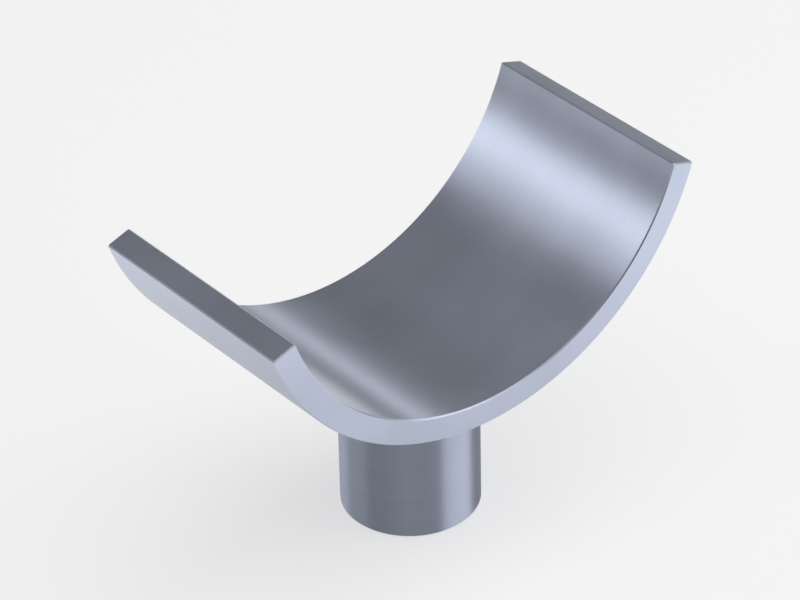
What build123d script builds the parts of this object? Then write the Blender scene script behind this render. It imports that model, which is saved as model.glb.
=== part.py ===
from build123d import *
from math import sqrt
import os

# Pipe saddle support for a 4 in pipe, welded up from a rolled plate and a short pipe stub.
#
# A length of quarter-inch plate is rolled to the outside of the pipe that it carries, and cut
# square at its ends and radially along its two rims. A stub of 1 in pipe is coped to the
# plate's underside, bevelled there, and joined to it by a weld all round. The stub slips into,
# or is welded to, the stanchion below. Nothing moves.
#
# All sizes are in millimetres. The origin is the centre of the stub's foot, where the part
# stands. +Z is up along the stub, and the carried pipe lies along Y.

# Driving dimensions
pipe_outside_diameter = 114.3  # the carried pipe, 4 in nominal
seat_clearance = 0.35  # between the pipe and the rolled seat, on the radius
plate_thickness = 6.35
saddle_length = 60.3  # along the carried pipe
wrap_angle = 144.0  # how far round the pipe the plate reaches, in degrees
plate_edge_break = 0.3  # chamfer on the deburred edges of the plate
stub_outside_diameter = 33.4  # 1 in nominal pipe
stub_wall = 3.38  # schedule 40
stub_drop = 38.1  # from the plate's underside, at its lowest, down to the foot
foot_chamfer = 0.5  # at both edges of the stub's sawn foot
weld_leg = 5.0  # how far the weld reaches out over the plate and down the stub
weld_face_radius = 15.0  # the slight bulge of the weld's face, seen in section
root_land = 0.4  # wall left standing at the stub's bevelled end

# Sizes that follow from them
seat_radius = pipe_outside_diameter / 2 + seat_clearance
back_radius = seat_radius + plate_thickness
stub_radius = stub_outside_diameter / 2
bore_radius = stub_radius - stub_wall
pipe_axis_height = stub_drop + back_radius
cope_height = pipe_axis_height - sqrt(back_radius**2 - stub_radius**2)  # at the stub's sides
toe_height = stub_drop - weld_leg
face_rise = sqrt(2 * weld_leg * weld_face_radius - weld_leg**2)  # from the toe to upright

foot_plane = Plane.XY
section_plane = Plane(origin=(0, 0, pipe_axis_height), x_dir=(1, 0, 0), z_dir=(0, -1, 0))
straight_down = 270.0  # degrees, in the section plane

# The plate's section is a sector of a ring round the pipe's axis. Its rims are cut along
# radii, so they face up and outward, and every edge is lightly broken.
with BuildPart() as saddle_plate:
    with BuildSketch(section_plane):
        with BuildLine():
            first_rim = straight_down - wrap_angle / 2
            seat_arc = CenterArc((0, 0), seat_radius, first_rim, wrap_angle)
            back_arc = CenterArc((0, 0), back_radius, first_rim, wrap_angle)
            Line(seat_arc @ 0, back_arc @ 0)
            Line(seat_arc @ 1, back_arc @ 1)
        make_face()
    extrude(amount=saddle_length / 2, both=True)
    chamfer(saddle_plate.edges(), plate_edge_break)
saddle_plate.part.label = "saddle_plate"

# A plain round log, as thick as the plate's back and lying along the pipe, is the shape that
# the stub is coped with and that the weld lies against.
with BuildPart() as back_log:
    with BuildSketch(section_plane):
        Circle(back_radius)
    extrude(amount=saddle_length / 2, both=True)

# The stub starts as a cut of pipe. Its foot is sawn square and chamfered. Its upper end is
# bevelled on the outside for the weld and then coped to sit on the plate's round underside,
# which closes the bore.
with BuildPart() as stub_pipe:
    with BuildSketch(foot_plane):
        Circle(stub_radius)
        Circle(bore_radius, mode=Mode.SUBTRACT)
    extrude(amount=cope_height)
    foot_edges = stub_pipe.edges().group_by(Axis.Z)[0]
    chamfer(foot_edges, foot_chamfer)
    upper_end = stub_pipe.faces().sort_by(Axis.Z)[-1]
    chamfer(
        upper_end.outer_wire().edges(),
        length=stub_wall - root_land,
        length2=cope_height - toe_height,
        reference=upper_end,
    )
    add(back_log.part, mode=Mode.SUBTRACT)
stub_pipe.part.label = "stub_pipe"

# The weld runs all round the stub. It fills the bevel, its toe is a level ring on the pipe,
# and its face is an arc that would turn upright a little above the plate's underside.
with BuildPart() as weld_bead:
    with BuildSketch(Plane.XZ):
        with BuildLine():
            toe = (stub_radius, toe_height)
            bevel_end = (bore_radius + root_land, cope_height)
            crown = (stub_radius + weld_leg, toe_height + face_rise)
            Polyline(
                toe,
                bevel_end,
                (bevel_end[0], pipe_axis_height),
                (crown[0], pipe_axis_height),
                crown,
            )
            TangentArc(crown, toe, tangent=(0, -1))
        make_face()
    revolve(axis=Axis.Z)
    add(back_log.part, mode=Mode.SUBTRACT)
weld_bead.part.label = "weld_bead"

os.makedirs("parts", exist_ok=True)
export_step(saddle_plate.part, "parts/saddle_plate.step")
export_step(stub_pipe.part, "parts/stub_pipe.step")
export_step(weld_bead.part, "parts/weld_bead.step")
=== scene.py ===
# %% [markdown]
# # A welded pipe saddle in satin zinc plate
# The saddle is three real pieces: a plate rolled to the outside of the pipe that it carries, a
# short stub of pipe under it, and the weld between them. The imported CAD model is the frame: it
# gives every piece its true size and place, in metres, with +Z up along the stub and the
# carried pipe along Y. This lesson dresses that frame. The plate and the stub keep their CAD
# shapes and get finishes. The weld gets a new shape, because its ripples are too fine for CAD.

# %% Load the frame
import bpy
from math import atan2, cos, hypot, pi, radians, sin, sqrt
from mathutils import Matrix, Vector


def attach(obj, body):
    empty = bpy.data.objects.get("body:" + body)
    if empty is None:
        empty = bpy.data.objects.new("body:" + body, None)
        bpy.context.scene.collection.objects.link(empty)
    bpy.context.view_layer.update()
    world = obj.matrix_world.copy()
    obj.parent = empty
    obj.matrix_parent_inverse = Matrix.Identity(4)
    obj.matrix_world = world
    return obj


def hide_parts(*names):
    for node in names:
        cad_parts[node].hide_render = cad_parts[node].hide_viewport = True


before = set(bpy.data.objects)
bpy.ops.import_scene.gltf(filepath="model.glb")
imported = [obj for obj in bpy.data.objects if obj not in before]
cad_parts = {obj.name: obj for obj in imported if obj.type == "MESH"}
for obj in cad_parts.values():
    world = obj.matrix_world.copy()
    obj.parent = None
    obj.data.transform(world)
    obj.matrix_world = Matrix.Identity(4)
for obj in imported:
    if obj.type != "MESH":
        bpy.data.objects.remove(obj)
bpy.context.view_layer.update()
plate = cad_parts["saddle_plate"]
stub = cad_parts["stub_pipe"]

# %% [markdown]
# ## Sizes
# A few sizes of the real part are needed again here, to place the weld and to scale the
# finishes. They are the same as in the CAD model, so they are written once, in metres.

# %% Sizes of the real part
mm = 0.001
seat_radius = 57.5 * mm
plate_thickness = 6.35 * mm
back_radius = seat_radius + plate_thickness
saddle_length = 60.3 * mm
stub_radius = 16.7 * mm
stub_wall = 3.38 * mm
root_land = 0.4 * mm  # wall left standing at the stub's bevelled end
pipe_axis_height = 101.95 * mm
weld_toe_height = 33.1 * mm
weld_leg = 5.0 * mm
weld_face_radius = 15.0 * mm
weld_root_radius = stub_radius - stub_wall + root_land
weld_root_height = pipe_axis_height - sqrt(back_radius**2 - stub_radius**2)
print("the weld's toe is", round(weld_toe_height / mm, 1), "mm over the foot")

# %% [markdown]
# ## The weld bead
# On the real part the welder lays a bead all round the stub, and each small pulse of the
# torch freezes as a thin crescent that overlaps the last one, like a stack of coins. A smooth
# ring would look cast. A bump texture would vanish at the edge of the bead, where the ripples
# show best, so they are real geometry: one ripple is modelled, turned round the stub as many
# times as a bead of this size has ripples, roughened as a hand is uneven, and cut to the
# round of the plate. The section comes first. Its face is an arc, so it starts as a circle,
# and cuts leave only the part that shows.

# %% Section of the bead
bite = 0.25 * mm  # how far the bead reaches into the stub's wall, so that no gap shows
arc_middle = Vector((stub_radius + weld_leg - weld_face_radius, 0, 0))
arc_middle.z = weld_toe_height + sqrt(weld_face_radius**2 - (stub_radius - arc_middle.x) ** 2)
section_top = weld_root_height + 2.2 * mm  # inside the plate, so the log cuts all round

bpy.ops.object.select_all(action="DESELECT")
bpy.ops.mesh.primitive_circle_add(
    vertices=180, radius=weld_face_radius, location=arc_middle, rotation=(pi / 2, 0, 0)
)
bead = bpy.context.object
bead.name = "rippled_weld"
bpy.ops.object.transform_apply(location=True, rotation=True, scale=True)


def cut(point, normal):
    """Cuts everything in edit mode by a plane and drops what lies on the normal's side."""
    bpy.ops.mesh.select_all(action="SELECT")
    bpy.ops.mesh.bisect(
        plane_co=point, plane_no=Vector(normal).normalized(), clear_outer=True, threshold=1e-7
    )


bpy.ops.object.mode_set(mode="EDIT")
cut((0, 0, weld_toe_height - bite), (0, 0, -1))
cut((weld_root_radius, 0, 0), (-1, 0, 0))
cut((0, 0, section_top), (0, 0, 1))
bpy.ops.mesh.select_all(action="SELECT")
bpy.ops.mesh.extrude_edges_move(TRANSFORM_OT_translate={"value": (-stub_wall, 0, 0)})
bpy.ops.transform.resize(value=(0, 1, 1), center_override=(weld_root_radius, 0, 0))
bevel_run = Vector((weld_root_radius - stub_radius, 0, weld_root_height - weld_toe_height))
cut((stub_radius - bite, 0, weld_toe_height), (-bevel_run.z, 0, bevel_run.x))
bpy.ops.object.mode_set(mode="OBJECT")
print("weld section:", len(bead.data.vertices), "points,", len(bead.data.polygons), "faces")

# %% [markdown]
# One ripple is the section spun through a small angle, with its two ends left open, so that
# copies join into one ring. Helpers tell where a point lies, round the stub and across the
# bead's face, because parts of the mesh are selected by their place.

# %% One plain slice of the bead
ripple_count = 84
ripple_turn = 2 * pi / ripple_count
ripple_heights = (0.0, 0.10, 0.18, 0.25, 0.28, 0.22, 0.0)  # mm, from one end to the other
ripple_steps = len(ripple_heights) - 1
same_turn = 1e-4  # radians, for points that lie at one turn round the stub
same_row = 5e-4  # radians, for points that lie in one row of the face
face_depth = 0.1 * mm  # how far under the arc a point still belongs to the face


def turn_of(point):
    """How far round the stub a point lies from the slice's start."""
    return abs(atan2(point[1], point[0]))


def place_on_face(point):
    """A point's distance from the arc's centre, in its own section, and its angle there."""
    out, up = hypot(point[0], point[1]) - arc_middle.x, point[2] - arc_middle.z
    return hypot(out, up), atan2(up, out)


def on_face(point):
    """Whether a point lies on the bead's curved face."""
    return place_on_face(point)[0] > weld_face_radius - face_depth


def select_where(piece, test, kind="VERT"):
    """Selects a piece's points, or its faces by their middles, that pass a test."""
    bpy.ops.mesh.select_mode(type=kind)
    bpy.ops.mesh.select_all(action="DESELECT")
    bpy.ops.object.mode_set(mode="OBJECT")
    if kind == "VERT":
        for point in piece.data.vertices:
            point.select = test(point.co)
    else:
        for face in piece.data.polygons:
            face.select = test(face.center)
    bpy.ops.object.mode_set(mode="EDIT")


bpy.ops.object.mode_set(mode="EDIT")
bpy.ops.mesh.select_all(action="SELECT")
bpy.ops.mesh.spin(steps=ripple_steps, angle=ripple_turn, center=(0, 0, 0), axis=(0, 0, 1))
for end_turn in (0, ripple_turn):
    select_where(bead, lambda middle: abs(turn_of(middle) - end_turn) < same_turn, "FACE")
    bpy.ops.mesh.delete(type="ONLY_FACE")
bpy.ops.object.mode_set(mode="OBJECT")
print("plain slice:", len(bead.data.polygons), "faces")

# %% [markdown]
# The slice becomes a ripple in two moves. Its columns are pushed out from the arc's centre, a
# little more each, and fall away steeply on the side that the torch came from, because each
# ripple freezes over the one before it. Then each row of the face is turned back a little, most
# in the middle of the face, which bends the ripple into a crescent. Both ends keep the same
# outline, so they still meet.

# %% Shape the ripple
crescent_turn = radians(4.2)

bpy.ops.object.mode_set(mode="EDIT")
for step, height in enumerate(ripple_heights):
    turn = step * ripple_turn / ripple_steps
    select_where(bead, lambda point: abs(turn_of(point) - turn) < same_turn and on_face(point))
    middle = (arc_middle.x * cos(turn), -arc_middle.x * sin(turn), arc_middle.z)
    growth = 1 + height * mm / weld_face_radius
    bpy.ops.transform.resize(value=(growth, growth, growth), center_override=middle)

bpy.ops.object.mode_set(mode="OBJECT")
face_points = [point.co for point in bead.data.vertices if on_face(point.co)]
rows = sorted({round(place_on_face(point)[1], 3) for point in face_points})
bpy.ops.object.mode_set(mode="EDIT")
for row in rows:
    along = 2 * (row - rows[0]) / (rows[-1] - rows[0]) - 1  # -1 at the toe, 1 at the top
    select_where(
        bead, lambda point: abs(place_on_face(point)[1] - row) < same_row and on_face(point)
    )
    bend = crescent_turn * (1 - along**2)
    bpy.ops.transform.rotate(value=bend, orient_axis="Z", center_override=(0, 0, 0))
bpy.ops.object.mode_set(mode="OBJECT")
print("ripple:", len(rows), "rows of", len(face_points) // len(rows), "points")

# %% [markdown]
# An array turns copies of the ripple round the stub and joins them. A cloudy displacement makes
# the bead a little uneven, as a hand makes it. Then a boolean cuts it with a round log, where
# the plate's back gives the real bead its upper edge. The log is a hair smaller than that
# back, so the bead bites into the plate and leaves no gap.


# %% The whole bead
def apply_modifier(piece, kind, **settings):
    """Adds a modifier to a piece, with its settings, and applies it."""
    bpy.context.view_layer.objects.active = piece
    modifier = piece.modifiers.new(kind.lower(), kind)
    for name, value in settings.items():
        setattr(modifier, name, value)
    bpy.ops.object.modifier_apply(modifier=modifier.name)


def take_away(helper):
    """Removes an object that was only needed to shape another."""
    bpy.data.objects.remove(helper, do_unlink=True)


bpy.ops.object.empty_add(location=(0, 0, 0), rotation=(0, 0, -ripple_turn))
next_ripple = bpy.context.object
apply_modifier(
    bead,
    "ARRAY",
    count=ripple_count,
    use_relative_offset=False,
    use_object_offset=True,
    offset_object=next_ripple,
    use_merge_vertices=True,
    use_merge_vertices_cap=True,
    merge_threshold=1e-6,
)
take_away(next_ripple)

unsteady_hand = bpy.data.textures.new("unsteady_hand", "CLOUDS")
unsteady_hand.noise_scale = 9 * mm
apply_modifier(bead, "DISPLACE", texture=unsteady_hand, strength=0.55 * mm, mid_level=0.42)
print("bead before the cut:", len(bead.data.polygons), "faces")

# %% Cut the bead to the plate's back
log_radius = back_radius - 0.08 * mm

bpy.ops.object.select_all(action="DESELECT")
bpy.ops.mesh.primitive_cylinder_add(
    vertices=720,
    radius=log_radius,
    depth=saddle_length,
    location=(0, 0, pipe_axis_height),
    rotation=(pi / 2, 0, 0),
)
round_log = bpy.context.object
apply_modifier(bead, "BOOLEAN", operation="DIFFERENCE", object=round_log, solver="EXACT")
take_away(round_log)

bpy.ops.object.select_all(action="DESELECT")
bead.select_set(True)
bpy.context.view_layer.objects.active = bead
bpy.ops.object.mode_set(mode="EDIT")
bpy.ops.mesh.select_all(action="SELECT")
bpy.ops.mesh.remove_doubles(threshold=1e-6)
bpy.ops.mesh.normals_make_consistent(inside=False)
bpy.ops.object.mode_set(mode="OBJECT")
bpy.ops.object.shade_smooth_by_angle(angle=radians(75))
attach(bead, "root")
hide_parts("weld_bead")
print("whole bead:", len(bead.data.polygons), "faces")

# %% [markdown]
# ## Finishes
# The whole saddle is mild steel, welded and then electroplated with zinc under a clear
# passivate. That film is a few thousandths of a millimetre thick, so it keeps every mark of the
# steel below and only turns its colour to a cool, faintly lavender silver. All three finishes
# therefore share colours and differ in the marks, except that the stub's zinc is written darker
# as painted shade. One function turns a written colour to the linear one that shaders use, one
# gives a piece an empty material, and one adds a node.


# %% Helpers for finishes
def paint(hex_colour):
    """The linear colour, with alpha, of an sRGB hex value."""
    parts = [int(hex_colour[i : i + 2], 16) / 255 for i in (1, 3, 5)]
    return [c / 12.92 if c <= 0.04045 else ((c + 0.055) / 1.055) ** 2.4 for c in parts] + [1]


def new_finish(name, piece):
    """Gives a piece one new, empty material and returns its node tree."""
    material = bpy.data.materials.new(name)
    material.use_nodes = True
    material.node_tree.nodes.clear()
    piece.data.materials.clear()
    piece.data.materials.append(material)
    return material.node_tree


def add(tree, kind, inputs=None, output=0, **settings):
    """Adds a node with its settings, values and links, and returns one of its outputs."""
    node = tree.nodes.new("ShaderNode" + kind)
    for name, value in settings.items():
        setattr(node, name, value)
    for socket, value in (inputs or {}).items():
        if isinstance(value, bpy.types.NodeSocket):
            tree.links.new(value, node.inputs[socket])
        else:
            node.inputs[socket].default_value = value
    return node.outputs[output] if node.outputs else None


zinc_dull = paint("#C2CADE")
zinc_bright = paint("#D2DAEE")
print("bright zinc in linear light:", [round(c, 3) for c in zinc_bright[:3]])

# %% [markdown]
# Handling rubs every edge of a plated part a little brighter. A Bevel node gives the normal
# that a rounded edge would have, and it differs from the surface's own only near an edge, so
# the angle between the two tells how near that edge is. The plate and the stub both need it.


# %% Rubbed edges
def rubbed_edges(tree, width):
    """How much a point is rubbed: nothing on a plain face, and most at a sharp edge."""
    rounded = add(tree, "Bevel", {"Radius": width}, samples=8)
    own_normal = add(tree, "NewGeometry", output="Normal")
    pair = {0: rounded, 1: own_normal}
    alike = add(tree, "VectorMath", pair, output=1, operation="DOT_PRODUCT")
    turned = {"Value": alike, "From Min": 0.99, "From Max": 0.86, "To Max": 0.6}
    return add(tree, "MapRange", turned)


plate_edge_width, stub_edge_width = 0.8 * mm, 0.7 * mm
print("edges are rubbed within", plate_edge_width, "and", stub_edge_width, "m")

# %% [markdown]
# ### The rolled plate
# Bright zinc over cold-rolled plate looks satin, not mirror-like. The rolls leave fine streaks
# along the strip, which runs round the saddle, and the plated film has slow, faint clouds of
# tone. The cut ends and rims are different: the saw leaves short lines through the thickness.
# Object coordinates are the real part's own, so every pattern is scaled by its real size. A
# cut face is told by its normal, which doesn't point along the radius there.

# %% Streaks and saw lines of the rolled plate
streak_length, streak_width = 30 * mm, 0.35 * mm
saw_line_width = 0.45 * mm
cloud_size = 22 * mm

tree = new_finish("zinc_plated_rolled_steel", plate)
place = add(tree, "TexCoord", output="Object")
grain = {"Vector": place, "Scale": (1 / streak_length, 1 / streak_width, 1 / streak_length)}
streak_place = add(tree, "Mapping", grain)
streak_noise = {"Vector": streak_place, "Scale": 1, "Detail": 3, "Roughness": 0.6}
streaks = add(tree, "TexNoise", streak_noise)
clouds = add(tree, "TexNoise", {"Vector": place, "Scale": 1 / cloud_size, "Detail": 2})

to_axis = {"Vector": place, "Location": (0, 0, -pipe_axis_height)}
x, y, z = add(tree, "SeparateXYZ", {0: add(tree, "Mapping", to_axis)}).node.outputs
angle = add(tree, "Math", {0: z, 1: x}, operation="ARCTAN2")
unrolled = {
    "Vector": add(tree, "CombineXYZ", {"X": angle, "Y": y}),
    "Scale": (seat_radius / saw_line_width, 1 / saw_line_width, 1),
}
saw_place = add(tree, "Mapping", unrolled)
saw_noise = {"Vector": saw_place, "Scale": 1, "Detail": 3, "Roughness": 0.6}
saw_lines = add(tree, "TexNoise", saw_noise)

from_axis = add(tree, "CombineXYZ", {"X": x, "Z": z})
outward = add(tree, "VectorMath", {0: from_axis}, operation="NORMALIZE")
normal = add(tree, "NewGeometry", output="True Normal")
rolled = add(tree, "VectorMath", {0: outward, 1: normal}, output=1, operation="DOT_PRODUCT")
along_radius = add(tree, "Math", {0: rolled}, operation="ABSOLUTE")
cut_face = add(tree, "Math", {0: along_radius, 1: 0.5}, operation="LESS_THAN")
marks = add(tree, "Mix", {0: cut_face, 2: streaks, 3: saw_lines})
print("patterns of the rolled plate:", len(tree.nodes), "nodes")

# %% [markdown]
# The marks shade the colour a little and give a bump of a few thousandths of a millimetre,
# which is what a rolled or sawn surface really has. The clouds shade it too, and make the
# satin a little finer in some places than in others. The rubbed edges are brighter and, as
# they are scuffed, a little rougher.

# %% Shader of the rolled plate
rubbed_zinc = paint("#DDE2EE")
scuff = 0.04  # how much rougher a fully rubbed edge would be
mark_depth = 0.005 * mm

edge = rubbed_edges(tree, plate_edge_width)
cloud_shades = {"Value": clouds, "From Min": 0.3, "From Max": 0.7, "To Max": 0.6}
mark_shades = {"Value": marks, "From Min": 0.25, "From Max": 0.75, "To Max": 0.4}
both = {0: add(tree, "MapRange", cloud_shades), 1: add(tree, "MapRange", mark_shades)}
tone = add(tree, "Math", both, operation="ADD")
silver = add(tree, "Mix", {0: tone, 6: zinc_dull, 7: zinc_bright}, output=2, data_type="RGBA")
colour = add(tree, "Mix", {0: edge, 6: silver, 7: rubbed_zinc}, output=2, data_type="RGBA")
cloud_satin = {"Value": clouds, "From Min": 0.3, "From Max": 0.7, "To Min": 0.285, "To Max": 0.31}
satin = add(tree, "MapRange", cloud_satin)
roughness = add(tree, "Math", {0: edge, 1: scuff, 2: satin}, operation="MULTIPLY_ADD")
bump = add(tree, "Bump", {"Height": marks, "Strength": 0.5, "Distance": mark_depth})
plate_shader = {"Base Color": colour, "Metallic": 1, "Roughness": roughness, "Normal": bump}
add(tree, "OutputMaterial", {0: add(tree, "BsdfPrincipled", plate_shader)})
print("finish of the rolled plate:", len(tree.nodes), "nodes")

# %% [markdown]
# ### The pipe stub
# Before welding, the stub's skin is cleaned with an abrasive belt while the pipe turns, so its
# scratches run round it. They scatter light up and down but not sideways, which is why lamps
# and floor draw upright bands on the stub. In the shader that is anisotropy, about an axis
# along the stub. Next to the weld the heat has left the skin duller, along an uneven line.

# %% Scratches and heat on the stub
scratch_length, scratch_width = 26 * mm, 0.3 * mm
heat_from, heat_to = weld_toe_height - 3 * mm, weld_toe_height + 2 * mm
wave_size, wave_height = 12 * mm, 4 * mm  # of the uneven line where the dull skin starts

tree = new_finish("zinc_plated_belted_pipe", stub)
place = add(tree, "TexCoord", output="Object")
belt = {"Vector": place, "Scale": (1 / scratch_length, 1 / scratch_length, 1 / scratch_width)}
belt_place = add(tree, "Mapping", belt)
belt_noise = {"Vector": belt_place, "Scale": 1, "Detail": 4, "Roughness": 0.6}
belt_lines = add(tree, "TexNoise", belt_noise)
waves = add(tree, "TexNoise", {"Vector": place, "Scale": 1 / wave_size, "Detail": 2})
z = add(tree, "SeparateXYZ", {0: place}, output="Z")
uneven_z = add(tree, "Math", {0: waves, 1: wave_height, 2: z}, operation="MULTIPLY_ADD")
heated = add(tree, "MapRange", {"Value": uneven_z, "From Min": heat_from, "From Max": heat_to})
print("patterns of the stub:", len(tree.nodes), "nodes")

# %% Shader of the stub
# The stub's zinc is written darker than the plate's. This is painted shade, for the stub that
# stands under the saddle. Its dull and bright tones follow the belt lines.
shaded_belted_zinc_dull, shaded_belted_zinc_bright = paint("#AEB5C6"), paint("#B8BFD1")
heated_zinc = paint("#A3A8B5")
belted_satin = 0.52
heat_dulling = 0.05  # how much rougher the heated skin is

edge = rubbed_edges(tree, stub_edge_width)
tone = add(tree, "MapRange", {"Value": belt_lines, "From Min": 0.25, "From Max": 0.75})
tones = {0: tone, 6: shaded_belted_zinc_dull, 7: shaded_belted_zinc_bright}
silver = add(tree, "Mix", tones, output=2, data_type="RGBA")
worn = add(tree, "Mix", {0: edge, 6: silver, 7: zinc_bright}, output=2, data_type="RGBA")
colour = add(tree, "Mix", {0: heated, 6: worn, 7: heated_zinc}, output=2, data_type="RGBA")
dulled = {0: heated, 1: heat_dulling, 2: belted_satin}
roughness = add(tree, "Math", dulled, operation="MULTIPLY_ADD")
bump = add(tree, "Bump", {"Height": belt_lines, "Strength": 0.5, "Distance": mark_depth})
stub_shader = {
    "Base Color": colour,
    "Metallic": 1,
    "Roughness": roughness,
    "Anisotropic": 1.0,
    "Anisotropic Rotation": 0.25,
    "Tangent": add(tree, "Tangent", direction_type="RADIAL", axis="Z"),
    "Normal": bump,
}
add(tree, "OutputMaterial", {0: add(tree, "BsdfPrincipled", stub_shader)})
print("finish of the stub:", len(tree.nodes), "nodes")

# %% [markdown]
# ### The weld
# Weld metal freezes with a fine, grainy skin, so the same zinc looks duller on it. The gullies
# between ripples are painted darker: painted shade, where less light reaches into them. The
# Pointiness of the mesh could find the gullies, but it leaves stray patches. Their place is known
# instead, from the way the ripples were made: a point's turn round the stub, with its crescent
# taken back, counted in ripples, is a whole number in every gully.

# %% Gullies between the ripples
tree = new_finish("zinc_plated_weld_metal", bead)
place = add(tree, "TexCoord", output="Object")
x, y, z = add(tree, "SeparateXYZ", {0: place}).node.outputs
flat_place = add(tree, "CombineXYZ", {"X": x, "Y": y})
reach = add(tree, "VectorMath", {0: flat_place}, output=1, operation="LENGTH")
out = add(tree, "Math", {0: reach, 1: arc_middle.x}, operation="SUBTRACT")
up = add(tree, "Math", {0: z, 1: arc_middle.z}, operation="SUBTRACT")
row = add(tree, "Math", {0: up, 1: out}, operation="ARCTAN2")
across = {"Value": row, "From Min": rows[0], "From Max": rows[-1], "To Min": -1}
along = add(tree, "MapRange", across)
squared = add(tree, "Math", {0: along, 1: along}, operation="MULTIPLY")
bent_back = {0: squared, 1: -crescent_turn, 2: crescent_turn}
crescent = add(tree, "Math", bent_back, operation="MULTIPLY_ADD")
turn = add(tree, "Math", {0: y, 1: x}, operation="ARCTAN2")
straight = add(tree, "Math", {0: turn, 1: crescent}, operation="ADD")
ripples = add(tree, "Math", {0: straight, 1: ripple_turn}, operation="DIVIDE")
from_gully = add(tree, "Math", {0: ripples, 1: 0.5}, operation="PINGPONG")
soft_line = {"Value": from_gully, "From Max": 0.36}
ridge = add(tree, "MapRange", soft_line, interpolation_type="SMOOTHSTEP")
print("gullies of the weld:", ripple_count)

# %% [markdown]
# A coarse noise then varies the ripples' tone and how dark the painted shade in each gully
# is, and a fine one raises the grain.

# %% Finish of the weld
grain_size, grain_height = 0.5 * mm, 0.03 * mm
patch_size = 4 * mm

fine_grain = {"Vector": place, "Scale": 1 / grain_size, "Detail": 3, "Roughness": 0.6}
grains = add(tree, "TexNoise", fine_grain)
clouds = add(tree, "TexNoise", {"Vector": place, "Scale": 1 / patch_size, "Detail": 2})
# The coarse noise varies the ripples' own tone and the strength of the painted shade in the
# gullies.
patchy_tone_and_shade = add(tree, "MapRange", {"Value": clouds, "From Min": 0.35, "From Max": 0.65})
ripple_shades = {0: patchy_tone_and_shade, 6: paint("#A5ABBB"), 7: paint("#BCC2D3")}
silver = add(tree, "Mix", ripple_shades, output=2, data_type="RGBA")
# Painted shade: the darker colours of the gullies.
painted_shade_colours = {0: patchy_tone_and_shade, 6: paint("#747884"), 7: paint("#A2A7B6")}
gully_painted_shade = add(tree, "Mix", painted_shade_colours, output=2, data_type="RGBA")
colour = add(tree, "Mix", {0: ridge, 6: gully_painted_shade, 7: silver}, output=2, data_type="RGBA")
roughness = add(tree, "MapRange", {"Value": ridge, "To Min": 0.5, "To Max": 0.38})
bump = add(tree, "Bump", {"Height": grains, "Strength": 0.5, "Distance": grain_height})
weld_shader = {"Base Color": colour, "Metallic": 1, "Roughness": roughness, "Normal": bump}
add(tree, "OutputMaterial", {0: add(tree, "BsdfPrincipled", weld_shader)})
print("finish of the weld:", len(tree.nodes), "nodes")

# %% [markdown]
# ## Floor
# A plain matt white floor carries the part. It is a stage and not a piece of the part. Part of
# its white is its own when the camera or the metal sees it, which lightens the shadow on it
# but throws no more light on the part. A part shades the floor close to it, and a studio's
# light falls off far from it, and satin metal shows both. So in reflections the floor's own
# white fades a little towards the part, and more towards the far end of the studio.

# %% Floor, and its white in reflections
bpy.ops.object.select_all(action="DESELECT")
bpy.ops.mesh.primitive_plane_add(size=8, location=(0, 0, 0))
floor = bpy.context.object
floor.name = "floor"
tree = new_finish("matt_white_floor", floor)
place = add(tree, "TexCoord", output="Object")
distance = add(tree, "VectorMath", {0: place}, output=1, operation="LENGTH")
# In reflections the floor's white carries a painted shadow near the part and a painted fall-off
# of light far off.
shade = {"Value": distance, "From Min": 0.06, "From Max": 0.16, "To Min": 0.66}
fall = {"Value": distance, "From Min": 0.25, "From Max": 1.0, "To Min": 1, "To Max": 0.4}
painted_shade_near_part = add(tree, "MapRange", shade)
painted_falloff_far_off = add(tree, "MapRange", fall)
mirrored = add(tree, "Math", {0: painted_shade_near_part, 1: painted_falloff_far_off}, operation="MINIMUM")
print("floor:", floor.dimensions[0], "m wide")

# %% Finish of the floor
own_white_seen = 0.6
own_white_mirrored = 0.85

ray = add(tree, "LightPath").node.outputs
through = {0: ray["Is Camera Ray"], 1: ray["Is Transmission Ray"]}
seen = add(tree, "Math", through, operation="MAXIMUM")
white = add(tree, "Math", {0: seen, 1: mirrored}, operation="MAXIMUM")
plain = add(tree, "Math", {0: seen, 1: own_white_seen}, operation="MULTIPLY")
share = {0: ray["Is Glossy Ray"], 1: own_white_mirrored, 2: plain}
matt = {"Base Color": paint("#FAFAFA"), "Roughness": 0.9, "Specular IOR Level": 0}
whitened = {
    0: add(tree, "Math", share, operation="MULTIPLY_ADD"),
    1: add(tree, "BsdfPrincipled", matt),
    2: add(tree, "Emission", {"Color": (1, 1, 1, 1), "Strength": white}),
}
add(tree, "OutputMaterial", {0: add(tree, "MixShader", whitened)})
print("finish of the floor:", len(tree.nodes), "nodes")

# %% [markdown]
# ## What the metal mirrors
# Two choices shape the reflections, as they do in product photographs of bright metal. The
# pieces are left out of each other's reflections, so the bands of light on the seat run on to
# its near end as in the photograph, where the real seat would mirror its own far wall. And
# three cards stand close to the part at the right, where only its reflections see them: a low
# white one between two dark ones. The white card draws the narrow band near the seat's bottom,
# and the dark card under it draws the dark line beside that band. They stand so close that the
# right rim, which is higher than the seat's bottom, looks over the white card, and mirrors the
# upper dark one.

# %% Reflections and the three cards
for piece in (plate, stub, bead):
    piece.visible_glossy = False


def card(name, x, low, high, length, glow):
    """An upright card along Y, seen by reflections alone, with an even glow of its own."""
    bpy.ops.object.select_all(action="DESELECT")
    middle = (x, length / 2, (low + high) / 2)
    bpy.ops.mesh.primitive_plane_add(size=1, location=middle, rotation=(0, pi / 2, 0))
    piece = bpy.context.object
    piece.name = name
    piece.scale = (high - low, length, 1)
    piece.visible_camera = piece.visible_diffuse = piece.visible_shadow = False
    tree = new_finish(name, piece)
    add(tree, "OutputMaterial", {0: add(tree, "Emission", {"Strength": glow})})
    piece.data.materials[0].cycles.emission_sampling = "NONE"  # a reflection, and not a lamp
    print(name, [round(v, 3) for v in piece.dimensions])


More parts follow.
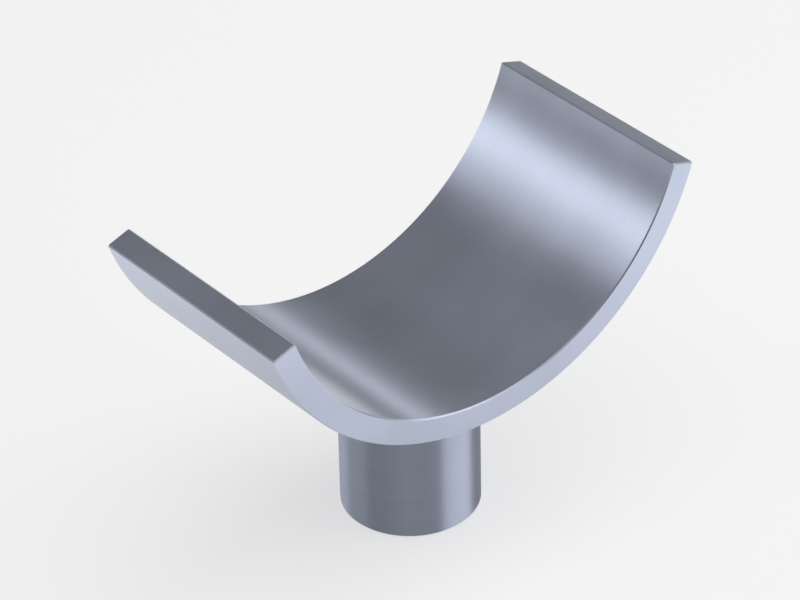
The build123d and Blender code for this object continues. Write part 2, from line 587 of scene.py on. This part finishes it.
card("dark_card", x=0.14, low=0, high=0.045, length=0.45, glow=0.05)
card("white_card", x=0.13, low=0.061, high=0.078, length=0.30, glow=1.85)
card("upper_dark_card", x=0.13, low=0.078, high=0.22, length=0.45, glow=0.16)

# %% [markdown]
# ## Light
# Satin metal shows its surroundings more than its own colour, so each lamp is placed by what
# the faces reflect. A wide softbox nearly overhead lights the floor and the part, and is dim
# enough that the metal doesn't turn white where it mirrors it. It is so high that the near
# edge's chamfer doesn't mirror it, since the photograph has no bright line there. A small
# softbox low at the front right draws the bright upright band on the stub, and one behind the
# left draws the faint band at the stub's left side. The rest of the room is an even, dim grey.

# %% World
room_grey = (0.18, 0.18, 0.18, 1)

world = bpy.data.worlds.new("dim_studio")
bpy.context.scene.world = world
world.use_nodes = True
tree = world.node_tree
tree.nodes.clear()
add(tree, "OutputWorld", {0: add(tree, "Background", {"Color": room_grey})})
print("the room's own light:", room_grey[0])


# %% Softboxes
def softbox(name, middle, looks_at, long_way, size, radiance):
    """A rectangular lamp: its place, the point it faces, the way its length runs, its size."""
    data = bpy.data.lights.new(name, "AREA")
    data.shape = "RECTANGLE"
    data.size, data.size_y = size
    data.energy = radiance * pi * size[1] * size[0]
    lamp = bpy.data.objects.new(name, data)
    bpy.context.scene.collection.objects.link(lamp)
    back = (Vector(middle) - Vector(looks_at)).normalized()
    along = (Vector(long_way) - back * back.dot(Vector(long_way))).normalized()
    turned = Matrix((along, back.cross(along), back)).transposed().to_4x4()
    lamp.matrix_world = Matrix.Translation(middle) @ turned
    lamp.visible_camera = False
    print(name, [round(v, 2) for v in middle], "m,", round(data.energy, 2), "W")


foot, middle_of_part = (0, 0, 0), (0, 0, 0.05)
softbox("overhead_softbox", (0.25, -0.25, 1.50), foot, (1, 0, 0), (3.0, 1.8), 1.2)
softbox("side_softbox", (0.59, -0.81, 0.27), middle_of_part, (1, 1, 0), (1.0, 0.42), 3.2)
softbox("back_softbox", (-0.47, 1.43, 0.33), middle_of_part, (1, 0, 0), (0.9, 0.55), 1.7)

# %% [markdown]
# A long strip behind the left draws the broad band down the far wall of the seat, and a dimmer
# one above it softens the band's lower edge. The seat curves across the pipe only, so a line
# of sight that it mirrors keeps its slope along the pipe. A strip's place then follows from
# the spot on the far wall where its band should lie, from its elevation as seen from there,
# and from that slope.

# %% Long strips
far_wall_x, far_wall_z = 0.046, 0.068
strip_reach, strip_length = 2.0, 2.2
sight_slope = 0.646 / 0.764  # of the camera's line of sight, along the pipe to across it


def strip(name, elevation, width, radiance):
    """A lamp along the pipe that the far wall mirrors, at an elevation in degrees."""
    x = far_wall_x - strip_reach * cos(radians(elevation))
    z = far_wall_z + strip_reach * sin(radians(elevation))
    y = strip_reach * sight_slope
    faced = (far_wall_x, y, far_wall_z)
    softbox(name, (x, y, z), faced, (0, 1, 0), (strip_length, width), radiance)


strip("long_strip", 26.7, 0.65, 1.1)
strip("upper_strip", 44, 0.56, 0.5)

# %% [markdown]
# ## Camera
# The camera stands where the photograph was taken from, worked out from the corners and arcs of
# the saddle: far off with a long lens, in front and to the left, looking down.

# %% Camera
azimuth = radians(-38.68)  # from straight in front, to the left
elevation = radians(34.17)
roll = radians(-1.36)
distance = 0.8658
looked_at = Vector((-0.0145475, -0.0158374, 0.0703399))

camera_data = bpy.data.cameras.new("camera")
camera_data.lens = 175.156
camera_data.clip_start, camera_data.clip_end = 0.01, 20
camera = bpy.data.objects.new("camera", camera_data)
bpy.context.scene.collection.objects.link(camera)
bpy.context.scene.camera = camera
back = Vector((sin(azimuth) * cos(elevation), -cos(azimuth) * cos(elevation), sin(elevation)))
facing = back.to_track_quat("Z", "Y").to_matrix().to_4x4() @ Matrix.Rotation(roll, 4, "Z")
camera.matrix_world = Matrix.Translation(looked_at + back * distance) @ facing
print("camera at", [round(v, 4) for v in camera.matrix_world.translation])
bpy.context.scene.view_settings.view_transform = "Standard"
